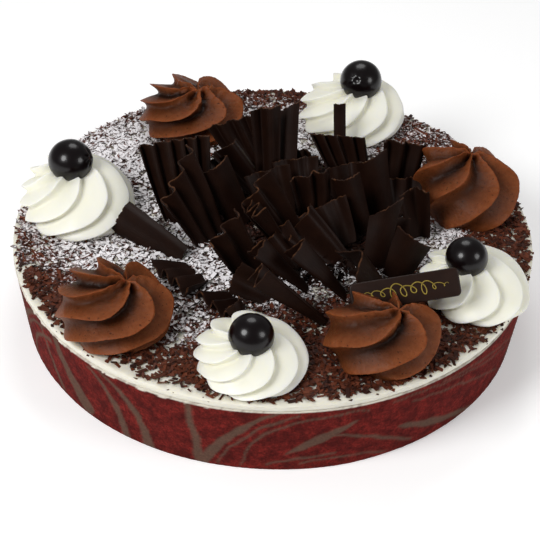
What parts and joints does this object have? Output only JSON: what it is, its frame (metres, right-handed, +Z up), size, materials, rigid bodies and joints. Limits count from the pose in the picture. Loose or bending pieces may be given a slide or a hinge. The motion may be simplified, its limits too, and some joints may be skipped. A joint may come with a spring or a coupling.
{
  "type": "black forest cake",
  "caption": "Whole round black forest cake wrapped in red patterned sponge, with grated chocolate, piped cream rosettes, dark cherries and a heap of chocolate ruffles.",
  "frame": {"origin": "centre of the cake's flat underside", "axes": "+Z up through the cake, -Y towards the front, where the plaque stands to the right"},
  "size_m": [0.26, 0.26, 0.0927],
  "materials": {
    "red_sponge": "matte baked sponge with paler piped swirls",
    "cream": "satin whipped cream",
    "chocolate_cream": "satin chocolate whipped cream",
    "dark_chocolate": "semi-gloss tempered dark chocolate",
    "preserved_cherry": "wet gloss"
  },
  "bodies": {
    "root": {"sponge_body": "red_sponge", "cream_layer": "cream", "white_rosette_left": "cream", "chocolate_rosette_front_left": "chocolate_cream", "white_rosette_front": "cream", "chocolate_rosette_front_right": "chocolate_cream", "white_rosette_right": "cream", "chocolate_rosette_right": "chocolate_cream", "white_rosette_back": "cream", "chocolate_rosette_back": "chocolate_cream", "cherry_left": "preserved_cherry", "cherry_front": "preserved_cherry", "cherry_right": "preserved_cherry", "cherry_back": "preserved_cherry", "plaque": "dark_chocolate", "ruffle_loose": "dark_chocolate", "ruffle_01": "dark_chocolate", "ruffle_02": "dark_chocolate", "ruffle_03": "dark_chocolate", "ruffle_04": "dark_chocolate", "ruffle_05": "dark_chocolate", "ruffle_06": "dark_chocolate", "ruffle_07": "dark_chocolate", "ruffle_08": "dark_chocolate", "ruffle_09": "dark_chocolate", "ruffle_10": "dark_chocolate", "ruffle_11": "dark_chocolate", "ruffle_12": "dark_chocolate", "ruffle_13": "dark_chocolate", "ruffle_14": "dark_chocolate", "ruffle_15": "dark_chocolate", "ruffle_16": "dark_chocolate", "ruffle_17": "dark_chocolate", "ruffle_18": "dark_chocolate", "ruffle_19": "dark_chocolate", "ruffle_20": "dark_chocolate", "ruffle_21": "dark_chocolate", "ruffle_22": "dark_chocolate", "ruffle_23": "dark_chocolate", "ruffle_24": "dark_chocolate", "ruffle_25": "dark_chocolate", "ruffle_26": "dark_chocolate", "ruffle_27": "dark_chocolate", "ruffle_28": "dark_chocolate", "ruffle_29": "dark_chocolate", "ruffle_30": "dark_chocolate", "ruffle_31": "dark_chocolate", "ruffle_32": "dark_chocolate", "ruffle_33": "dark_chocolate", "ruffle_34": "dark_chocolate", "ruffle_35": "dark_chocolate", "ruffle_36": "dark_chocolate", "ruffle_37": "dark_chocolate"}
  },
  "joints": []
}
